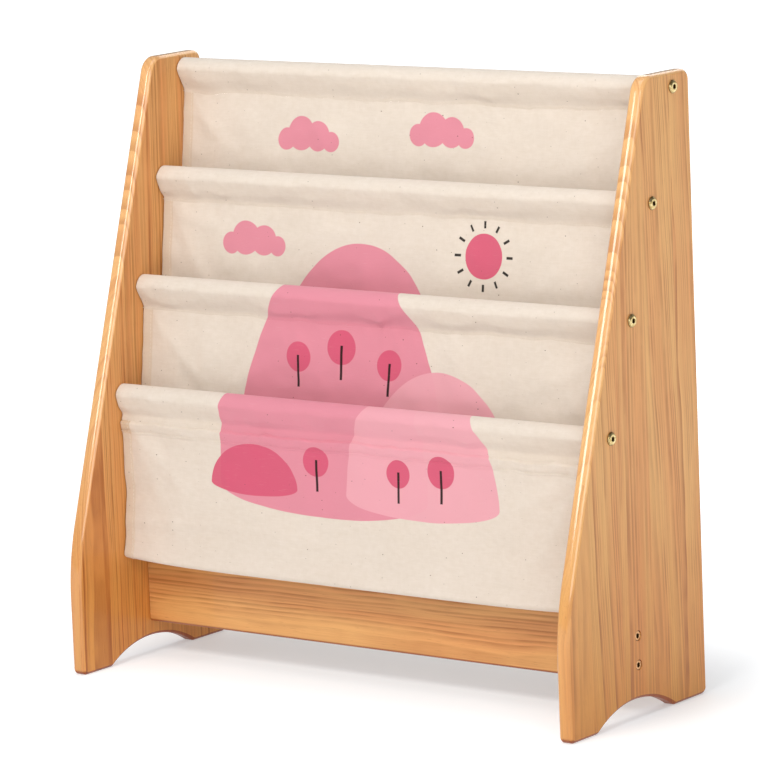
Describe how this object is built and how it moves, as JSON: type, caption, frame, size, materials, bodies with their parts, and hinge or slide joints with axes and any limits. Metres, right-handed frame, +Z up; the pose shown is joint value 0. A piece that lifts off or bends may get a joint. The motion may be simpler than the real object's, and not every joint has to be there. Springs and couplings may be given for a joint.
{
  "type": "sling bookshelf",
  "caption": "Child's sling bookshelf: pine side panels with sloping fronts, round cross rods and a low rail carry a canvas sling that hangs in open book pockets.",
  "frame": {"origin": "on the floor, under the middle of the shelf's width and depth", "axes": "+Z up, +X to the shelf's right as seen from the front, the open front towards -Y"},
  "size_m": [0.6152, 0.232, 0.608],
  "materials": {
    "pine": "clear satin lacquer",
    "rod_wood": "plain turned dowel",
    "canvas": "unbleached cotton canvas, printed",
    "zinc_steel": "yellow passivated zinc",
    "bronzed_steel": "bronze-coloured zinc"
  },
  "bodies": {
    "root": {"side_panel_left": "pine", "side_panel_right": "pine", "bottom_rail": "pine", "rod_1": "rod_wood", "rod_2": "rod_wood", "rod_3": "rod_wood", "rod_4": "rod_wood", "sling_casing_1": "canvas", "sling_casing_2": "canvas", "sling_casing_3": "canvas", "sling_casing_4": "canvas", "sling_pocket_1": "canvas", "sling_pocket_2": "canvas", "sling_pocket_3": "canvas", "rod_bolt_left_1": "zinc_steel", "rod_bolt_left_2": "zinc_steel", "rod_bolt_left_3": "zinc_steel", "rod_bolt_left_4": "zinc_steel", "insert_nut_left_1": "zinc_steel", "insert_nut_left_2": "zinc_steel", "insert_nut_left_3": "zinc_steel", "insert_nut_left_4": "zinc_steel", "rail_screw_left_lower": "bronzed_steel", "rail_screw_left_upper": "bronzed_steel", "rod_bolt_right_1": "zinc_steel", "rod_bolt_right_2": "zinc_steel", "rod_bolt_right_3": "zinc_steel", "rod_bolt_right_4": "zinc_steel", "insert_nut_right_1": "zinc_steel", "insert_nut_right_2": "zinc_steel", "insert_nut_right_3": "zinc_steel", "insert_nut_right_4": "zinc_steel", "rail_screw_right_lower": "bronzed_steel", "rail_screw_right_upper": "bronzed_steel"}
  },
  "joints": []
}
